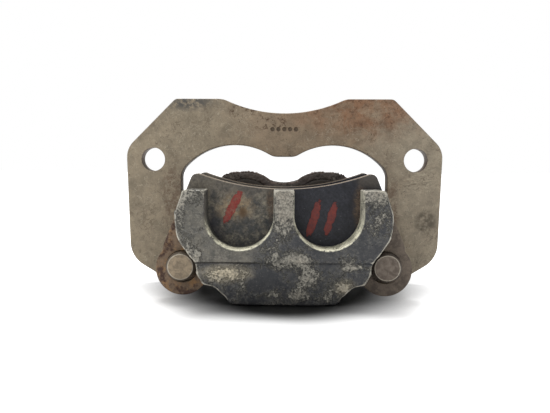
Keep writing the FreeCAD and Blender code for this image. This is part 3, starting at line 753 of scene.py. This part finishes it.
MATERIALS = {
    "carrier_steel": carrier_steel(),
    "pin_steel": pin_steel(),
    "body_casting": body_casting(),
    "pad_backing": pad_backing(),
    "pad_friction": pad_friction(),
    "boot_rubber": rubber("boot_rubber", 0.8),
    "seal_rubber": rubber("seal_rubber", 0.2),
    "cap_rubber": rubber("cap_rubber", 0.6),
    # The piston's front is darkened by brake dust and painted shade.
    "piston": plated_steel("piston", (0.33, 0.31, 0.27), (0.56, 0.54, 0.48), 0.3, HOUSING_FRONT + 1),
    "bleed_screw": plated_steel("bleed_screw", (0.34, 0.27, 0.14), (0.58, 0.49, 0.3), 0.35),
    "plug_steel": plated_steel("plug_steel", (0.16, 0.15, 0.14), (0.34, 0.32, 0.29), 0.6),
    "guide_bush": bearing_plastic(),
}
SLOTS = {row["node"]: row["material_slot"] for row in frame["record"]["subparts"]}


def dress(piece, slot):
    piece.data.materials.clear()
    piece.data.materials.append(MATERIALS[slot])


# ---- tools for meshes ----

def new_piece(name, verts, faces, slot):
    mesh = bpy.data.meshes.new(name)
    mesh.from_pydata([tuple(v) for v in verts], [], faces)
    mesh.update()
    piece = place(name, mesh)
    dress(piece, slot)
    return piece


def smooth_shading(piece, angle=None):
    mesh = piece.data
    mesh.polygons.foreach_set("use_smooth", [True] * len(mesh.polygons))
    if angle is not None:
        mesh.set_sharp_from_angle(angle=math.radians(angle))


def lathe(name, profile, centre, axis, slot, turns=72):
    """Turns a closed profile of (radius, distance) in mm about an axis through centre."""
    along = {"X": Vector((1, 0, 0)), "Y": Vector((0, 1, 0))}[axis]
    side = Vector((0, 0, 1))
    other = along.cross(side)
    verts = []
    for i in range(turns):
        a = 2 * math.pi * i / turns
        out = side * math.cos(a) + other * math.sin(a)
        for r, d in profile:
            verts.append((Vector(centre) + along * d + out * r) * MM)
    count = len(profile)
    faces = []
    for i in range(turns):
        for j in range(count):
            k = (j + 1) % count
            n = (i + 1) % turns
            faces.append((i * count + j, i * count + k, n * count + k, n * count + j))
    piece = new_piece(name, verts, faces, slot)
    smooth_shading(piece, 50)
    return piece


def arc(centre, radius, start, end, steps):
    """Profile points round a corner, with angles in degrees."""
    points = []
    for i in range(steps + 1):
        a = math.radians(start + (end - start) * i / steps)
        points.append((centre[0] + radius * math.cos(a), centre[1] + radius * math.sin(a)))
    return points


def ring_section(inner, outer, front, back, corner):
    """A rectangular ring section with rounded corners, as a (radius, distance) profile."""
    points = []
    for r, d, start in ((outer, back, 0), (inner, back, 90), (inner, front, 180), (outer, front, 270)):
        centre = (r - corner if r == outer else r + corner, d - corner if d == back else d + corner)
        points += arc(centre, corner, start, start + 90, 4)
    return points


def remeshed(node, name, voxel, slot):
    """A copy of a CAD node as one even grid of small faces, voxel mm across."""
    piece = place(name, NODES[node].data.copy())
    remesh = piece.modifiers.new("remesh", "REMESH")
    remesh.mode = "VOXEL"
    remesh.voxel_size = voxel * MM
    bpy.context.view_layer.update()
    evaluated = piece.evaluated_get(bpy.context.evaluated_depsgraph_get())
    mesh = bpy.data.meshes.new_from_object(evaluated)
    mesh.name = name
    piece.modifiers.clear()
    piece.data = mesh
    smooth_shading(piece)
    dress(piece, slot)
    return piece


class Skin:
    """A dense mesh's points in mm, for shaping with arrays."""

    def __init__(self, piece):
        self.mesh = piece.data
        count = len(self.mesh.vertices)
        flat = np.empty(count * 3)
        self.mesh.vertices.foreach_get("co", flat)
        self.points = flat.reshape(-1, 3) / MM
        ends = np.empty(len(self.mesh.edges) * 2, np.int32)
        self.mesh.edges.foreach_get("vertices", ends)
        self.ends = ends.reshape(-1, 2)
        self.degree = np.bincount(self.ends.ravel(), minlength=count).astype(float)

    def average(self, values):
        """Each point's mean over its neighbours."""
        a, b = self.ends[:, 0], self.ends[:, 1]
        total = np.bincount(a, values[b], len(values)) + np.bincount(b, values[a], len(values))
        return total / self.degree

    def smoothed(self, points, rounds):
        points = points.copy()
        for _ in range(rounds):
            for i in range(3):
                points[:, i] += 0.6 * (self.average(points[:, i]) - points[:, i])
        return points

    def write(self):
        self.mesh.vertices.foreach_set("co", (self.points * MM).ravel())
        self.mesh.update()

    def normals(self):
        flat = np.empty(len(self.points) * 3, np.float32)
        self.mesh.vertex_normals.foreach_get("vector", flat)
        return flat.reshape(-1, 3).astype(float)

    def store(self, name, values):
        layer = self.mesh.attributes.new(name, "FLOAT", "POINT")
        layer.data.foreach_set("value", values.astype(np.float32))


def fractal(points, size, octaves=4, shift=0):
    """Fractal noise at each point, about -1 to 1. Features are about size mm across."""
    offset = Vector((shift, shift * 1.7, shift * 2.3))
    return np.array([noise.fractal(Vector(p) / size + offset, 0.8, 2.1, octaves) for p in points])


def blob(points, centre, radii):
    """1 at centre, falling smoothly to 0 at the ellipsoid's surface."""
    away = np.linalg.norm((points - np.array(centre)) / np.array(radii), axis=1)
    return np.clip(1 - away, 0, 1) ** 2 * (3 - 2 * np.clip(1 - away, 0, 1))


def rise(values, low, high):
    t = np.clip((values - low) / (high - low), 0, 1)
    return t * t * (3 - 2 * t)


# ---- the cast body ----

# Where corrosion has taken the paint: centre, radii (mm) and how strongly.
CORROSION = (
    ((0, -46, -17), (7, 8, 14), 1.9),
    ((34.5, -46, -12), (8.5, 8, 8.5), 1.1),
    ((-39, -46, -19), (3.4, 8, 13), 0.9),
    ((-32.5, -46, -16.5), (3.5, 8, 5), 0.35),
    ((-31.5, -46, -26.5), (2.5, 8, 2.5), 0.9),
    ((-31, -46, -24), (7, 8, 16), -0.7),
    ((36, -46, -25), (7, 8, 10), 0.25),
    ((4, -46, -38), (13, 8, 6), 0.75),
    ((10, -45, -46), (7, 8, 5.5), 0.85),
    ((6.5, -45, -52), (6, 8, 4), 0.9),
    ((-33.5, -45, -36.5), (4, 8, 4), 0.9),
    ((-21, -45, -44), (11, 8, 5), 0.8),
    ((-6, -45, -52), (9, 8, 3), 0.5),
    ((24, -45, -49), (5.5, 8, 5), 0.8),
    ((28, -45, -41), (9, 8, 2), 0.4),
    ((32, -45, -45), (4.5, 8, 3.5), 0.2),
    ((-8, -45, -47), (9, 8, 6), -0.9),
    ((14.5, -45, -36), (8, 8, 5), -0.6),
    ((34, -46, -32), (9, 8, 9), -0.35),
    ((-21, -46, -35), (13, 8, 6), -0.9),
)
# Lumps of corrosion that stand proud: centre, radius and height (mm).
LUMPS = (
    ((-42, -45, -20.2), 2.2, 0.8),
    ((-37, -45, -31.5), 3, 0.35),
    ((13, -44.5, -45.5), 4, 0.35),
    ((1.5, -46.5, -30), 3, 0.25),
    ((33, -45.5, -48), 3, 0.30),
)


def rounds(points, x, z):
    """Each point's distance in the XZ plane from an axis along Y."""
    return np.hypot(points[:, 0] - x, points[:, 2] - z)


def between(values, low, high):
    return (values > low) & (values < high)


def snap_round(points, x, z, radius, front, back):
    """Puts the points near a machined bore's wall exactly on it."""
    distance = rounds(points, x, z)
    near = (np.abs(distance - radius) < 0.45) & between(points[:, 1], front, back)
    for i, centre in ((0, x), (2, z)):
        points[near, i] = centre + (points[near, i] - centre) / distance[near] * radius


def machined_inside(points):
    """True where a cutter finished the casting's inside, which stays as the CAD has it."""
    inside = rounds(points, 0, BORE["left"].z) < 8
    inside &= points[:, 1] > BORE_BACK - 2
    for side in SIDES:
        bore, pin = BORE[side], PIN[side]
        inside |= (rounds(points, bore.x, bore.z) < BORE_R + 1.9) & between(
            points[:, 1], HOUSING_FRONT + 0.5, BORE_BACK + 1)
        inside |= (rounds(points, pin.x, pin.z) < LUG_BORE_R + 0.6) & between(
            points[:, 1], LUG_BORE_FRONT, LUG_BORE_BACK + 0.5)
    return inside


def scoop_wall(points):
    """1 on the walls of the round notches that the boring bar left in the fingers."""
    wall = np.zeros(len(points))
    for bore in BORE.values():
        reach = np.where(points[:, 2] > bore.z, np.abs(points[:, 0] - bore.x), rounds(points, bore.x, bore.z))
        wall = np.maximum(wall, 1 - rise(np.abs(reach - SCOOP_R), 0.30, 0.55))
    return wall * (points[:, 1] < FINGER_BACK + 0.3) * (points[:, 2] < -9)


def cut_faces(points):
    """Where the port's and the side bosses' sealing faces are machined, and where the thread is."""
    x, y, z = points.T
    from_port = rounds(points, 0, BORE["left"].z)
    cut = (1 - rise(np.abs(y - PORT_FACE), 0.12, 0.3)) * (from_port < 8.2)
    from_drilling = np.hypot(y - DRILLING_Y, z - BORE["left"].z)
    for face, radius in ((BLEED_FACE, 6), (PLUG_FACE, 5.2)):
        cut = np.maximum(cut, (1 - rise(np.abs(x - face), 0.12, 0.3)) * (from_drilling < radius))
    thread = 1 - rise(np.abs(from_port - PORT_R), 0.25, 0.45)
    thread *= between(y, PORT_FACE - 9, PORT_FACE - 0.4)
    return cut, thread


def paint_loss(points):
    """How far corrosion has taken the paint, from 0 to about 2."""
    pale = 0.36 + 0.45 * fractal(points, 7, 5, 3) + 0.22 * fractal(points, 2.4, 3, 11)
    for centre, radii, strength in CORROSION:
        pale += strength * blob(points, centre, radii)
    return pale


def dust_and_mouth_shade(points, rear):
    """1 where brake dust is caked on the cylinders' hub side, near their mouths; on the mouths' faces it also
    stands for painted shade.
    """
    # The mouths' faces: brake dust and painted shade.
    front_face = 1 - rise(points[:, 1], HOUSING_FRONT - 0.4, HOUSING_FRONT + 0.6)
    front_face *= points[:, 1] > HOUSING_FRONT - 1.5
    hump = np.maximum(rear, front_face) * rise(points[:, 2], -30, -20)
    return hump * (1 - rise(points[:, 1], 4, 16))


def cast_body():
    """The casting: a rough cast skin round machined bores and faces, with corrosion standing proud."""
    piece = remeshed("caliper_body", "cast_body", CAST_VOXEL, "body_casting")
    skin = Skin(piece)
    sharp = skin.points
    wide = skin.smoothed(sharp, 26)
    skin.points = skin.smoothed(sharp, 3)
    skin.write()
    normals = skin.normals()
    lean = np.einsum("ij,ij->i", sharp - wide, normals)
    points = skin.points

    inside = machined_inside(points)
    outside = (~inside).astype(float)
    rear = rise(points[:, 1], HOUSING_FRONT - 1, HOUSING_FRONT + 1)
    fillet = rise(-lean, 0.04, 0.20) * rear * outside
    points += (wide - points) * fillet[:, None]
    for side in SIDES:
        snap_round(points, BORE[side].x, BORE[side].z, BORE_R + 0.06, HOUSING_FRONT - 1, BORE_BACK + 1)
        snap_round(points, PIN[side].x, PIN[side].z, LUG_BORE_R + 0.02, LUG_BORE_FRONT, LUG_BORE_BACK + 0.5)

    bore = scoop_wall(points)
    pale = paint_loss(points)
    hump = dust_and_mouth_shade(points, rear) * outside

    grit = fractal(points, 1.5, 3, 23)
    lift = (0.10 * rise(pale, 0.4, 0.7) * (0.5 + grit) + 0.05 * grit) * (1 - bore)
    lift += hump * rear * (0.85 * fractal(points, 1, 3, 31) - 0.10)
    for centre, radius, height in LUMPS:
        lift += height * blob(points, centre, (radius,) * 3)
    lift *= outside * ~between(points[:, 1], FINGER_BACK - 1.2, FINGER_BACK + 0.5)
    skin.points = points + normals * lift[:, None]
    skin.write()

    low_edge = 1 - 0.9 * rise(-points[:, 2], 52, 55)
    cut, thread = cut_faces(points)
    skin.store("spotfaced", cut)
    skin.store("threaded", thread)
    skin.store("pale", np.clip(pale, 0, 2) * outside)
    worn = low_edge * (1 - 0.5 * bore) * (1 - 0.55 * rise(points[:, 1], -32, -28))
    skin.store("edge", rise(lean, 0.24, 0.48) * outside * (1 - hump) * worn)
    skin.store("machined", bore)
    # Painted shade in the hollows: how concave the skin is.
    skin.store("hollow", rise(-lean, 0.12, 0.45) * (1 - fillet))
    skin.store("crusted_and_shaded", hump)
    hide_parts("caliper_body")
    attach(piece, "caliper")


# ---- rubber parts ----

def pin_boot(side):
    """Three-fold bellows from the pin's groove to the collar on the lug."""
    low, high = box_mm("pin_boot_" + side)
    crest = (high.x - low.x) / 2
    root, wall = crest - 2.3, 1
    first, last, folds = low.y + 2.2, high.y - 2.9, 3
    steps = 12 * folds

    def fold(i, inset):
        share = i / steps
        wave = 0.5 - 0.5 * math.cos(2 * math.pi * folds * share)
        return (root + (crest - root) * wave - inset, first + (last - first) * share)

    outside = [fold(i, 0) for i in range(steps + 1)]
    inside = [fold(i, wall) for i in range(steps + 1)]
    collar = high.y
    profile = [(6.3, low.y + 0.3), (6.3, low.y + 1.9)] + outside
    profile += [(9.3, last + 0.3), (9.35, last + 0.6), (9.35, collar - 0.4), (9, collar)]
    profile += [(8.3, collar), (8.08, collar - 0.3), (8.08, last + 0.5)] + inside[::-1]
    profile += [(5.15, low.y + 2.1), (4.6, low.y + 1.9), (4.6, low.y + 0.2), (4.8, low.y), (6, low.y)]
    boot = lathe("boot_" + side, profile, (PIN[side].x, 0, PIN[side].z), "Y", "boot_rubber")
    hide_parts("pin_boot_" + side)
    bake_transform(boot)


def seal_ring(kind, side):
    node = f"{kind}_seal_{side}"
    low, high = box_mm(node)
    outer = (high.x - low.x) / 2
    section = ring_section(BORE_R + 0.02, outer, low.y, high.y, 0.22)
    ring = lathe(f"{kind}_ring_{side}", section, (BORE[side].x, 0, BORE[side].z), "Y", "seal_rubber", 96)
    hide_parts(node)
    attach(ring, "caliper")


def cap():
    """Rubber cap with a rolled rim, a waist and a domed end."""
    low, high = box_mm("bleed_cap")
    centre = (0, (low.y + high.y) / 2, (low.z + high.z) / 2)
    rim_r = (high.y - low.y) / 2
    waist, hollow = rim_r - 0.75, 3.06
    profile = [(hollow, low.x)]
    profile += arc((rim_r - 0.8, low.x + 0.8), 0.8, -90, 90, 8)
    profile += [(waist, low.x + 2.1), (waist - 0.1, low.x + 3.5), (waist - 0.1, high.x - 1.4)]
    profile += arc((waist - 1.3, high.x - 1.2), 1.2, 0, 90, 6)
    profile += [(0.01, high.x), (0.01, high.x - 1.3), (hollow - 0.6, high.x - 1.5), (hollow, high.x - 2.4)]
    piece = lathe("bleeder_cap_moulded", profile, centre, "X", "cap_rubber", 48)
    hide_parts("bleed_cap")
    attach(piece, "bleeder_cap")


# ---- linings ----

def lining(which, body):
    """Moulded lining with a grainy surface and soft corners."""
    node = which + "_pad_friction"
    piece = remeshed(node, which + "_lining", LINING_VOXEL, "pad_friction")
    skin = Skin(piece)
    skin.points = skin.smoothed(skin.points, 2)
    skin.write()
    normals = skin.normals()
    grit = fractal(skin.points, 1.1, 3, 41)
    skin.points = skin.points + normals * (0.07 * grit - 0.05)[:, None]
    skin.write()
    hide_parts(node)
    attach(piece, body)


# ---- CAD nodes that stay ----

def keep_with_bevel(node, width):
    """Shows a CAD node with its corners broken. Only modifiers are added."""
    piece = NODES[node]
    weld = piece.modifiers.new("weld", "WELD")
    weld.merge_threshold = 2e-6
    flat = piece.modifiers.new("flat", "DECIMATE")
    flat.decimate_type = "DISSOLVE"
    flat.angle_limit = math.radians(0.5)
    bevel = piece.modifiers.new("bevel", "BEVEL")
    bevel.width = width * MM
    bevel.segments = 3
    bevel.limit_method = "ANGLE"
    bevel.angle_limit = math.radians(40)
    bevel.harden_normals = True


for side in SIDES:
    pin_boot(side)
    seal_ring("pressure", side)
    seal_ring("dust", side)
cap()
lining("outer", "outer_pad")
lining("inner", "inner_pad")
cast_body()
for node in NODES:
    dress(NODES[node], SLOTS[node])
for node in ("outer_pad_backing", "inner_pad_backing", "bracket_plate"):
    keep_with_bevel(node, 0.35)


# ---- floor, light and camera ----

def see_from_below(s, height):
    """Takes the table away for a camera that is under it."""
    eye = s.add("VectorTransform")
    eye.vector_type = "POINT"
    eye.convert_from = "CAMERA"
    eye.convert_to = "WORLD"
    eye.inputs[0].default_value = (0, 0, 0)
    under = s.sum("LESS_THAN", s.axis(2, eye.outputs[0]), height)
    clear = s.add("BsdfTransparent")
    either = s.add("MixShader")
    for i, socket in enumerate((under, s.surface.outputs[0], clear.outputs[0])):
        s.put(either.inputs[i], socket)
    s.put(s.tree.nodes["Material Output"].inputs[0], either.outputs[0])


def floor():
    """White table. Painted shadow darkens its colour close to the object, and it fades into the tent's white
    further off.
    """
    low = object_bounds()[0].z
    half = 3
    mesh = bpy.data.meshes.new("floor")
    corners = [(-half, -half, low), (half, -half, low), (half, half, low), (-half, half, low)]
    mesh.from_pydata(corners, [], [(0, 1, 2, 3)])
    table = place("floor", mesh)
    s = Shader("floor")
    # Painted shadow: the table's colour is darkened where the object shelters it, most of all just in front
    # of its foot.
    covered = s.add("AmbientOcclusion")
    covered.samples = 8
    covered.inputs["Distance"].default_value = 30 * MM
    painted_shadow_factor = s.sum("POWER", covered.outputs["AO"], 1.5)
    from_foot = s.vector("SUBTRACT", s.place, (0, -46, 0))
    from_foot = s.vector("LENGTH", s.vector("MULTIPLY", from_foot, (1 / 40, 1 / 23, 0)))
    painted_shadow_factor = s.times(painted_shadow_factor, s.range(s.step(from_foot, 0.30, 1), 0.05, 1))
    haze = s.mix(s.noise(40, detail=2), (0.90, 0.90, 0.90), (0.92, 0.92, 0.92))
    away = s.vector("LENGTH", s.vector("MULTIPLY", s.place, (1 / 41, 1 / 62, 0)))
    s.put(s.surface.inputs["Emission Color"], (1, 1, 1))
    seen = s.add("LightPath").outputs["Is Camera Ray"]
    glow = s.times(s.step(away, 0.85, 1.9), s.range(seen, 0.35, 0.9))
    s.put(s.surface.inputs["Emission Strength"], glow)
    s.colour = s.shade(haze, painted_shadow_factor)
    mesh.materials.append(s.finish(0.35, shine=0.3))
    see_from_below(s, low)
    table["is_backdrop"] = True


def area_light(name, at, size, power, target=(0, 0, -0.02)):
    data = bpy.data.lights.new(name, "AREA")
    data.shape = "RECTANGLE"
    data.size, data.size_y = size
    data.energy = power
    light = place(name, data)
    light.location = at
    light.rotation_euler = (Vector(target) - Vector(at)).to_track_quat("-Z", "Y").to_euler()


def studio():
    """A white tent: its walls are pure white to the camera, and light the object softly."""
    world = bpy.data.worlds.new("white_tent")
    world.use_nodes = True
    tree = world.node_tree
    walls = tree.nodes["Background"]
    walls.inputs["Color"].default_value = (1, 1, 1, 1)
    seen = tree.nodes.new("ShaderNodeLightPath").outputs["Is Camera Ray"]
    strength = tree.nodes.new("ShaderNodeMapRange")
    tree.links.new(seen, strength.inputs["Value"])
    strength.inputs["To Min"].default_value = 0.55
    strength.inputs["To Max"].default_value = 1
    tree.links.new(strength.outputs[0], walls.inputs["Strength"])
    bpy.context.scene.world = world
    area_light("softbox_top", (-0.12, 0.20, 0.62), (0.26, 0.26), 4.2)
    area_light("softbox_front", (-0.35, -0.55, 0.40), (0.4, 0.3), 1)
    bpy.context.scene.view_settings.view_transform = "Standard"


def camera():
    """Level with the holes, in front of the fingers, tipped down a little."""
    data = bpy.data.cameras.new("camera")
    data.sensor_width = 36
    data.lens = CAMERA_LENS
    data.clip_start = 0.01
    view = place("camera", data)
    turn = Matrix.Rotation(math.radians(CAMERA_TURN), 4, "Z")
    tip = Matrix.Rotation(math.radians(90 - CAMERA_DOWN), 4, "X")
    roll = Matrix.Rotation(math.radians(CAMERA_ROLL), 4, "Z")
    view.matrix_world = Matrix.Translation(Vector(CAMERA_AT) * MM) @ turn @ tip @ roll
    bpy.context.scene.camera = view


floor()
studio()
camera()
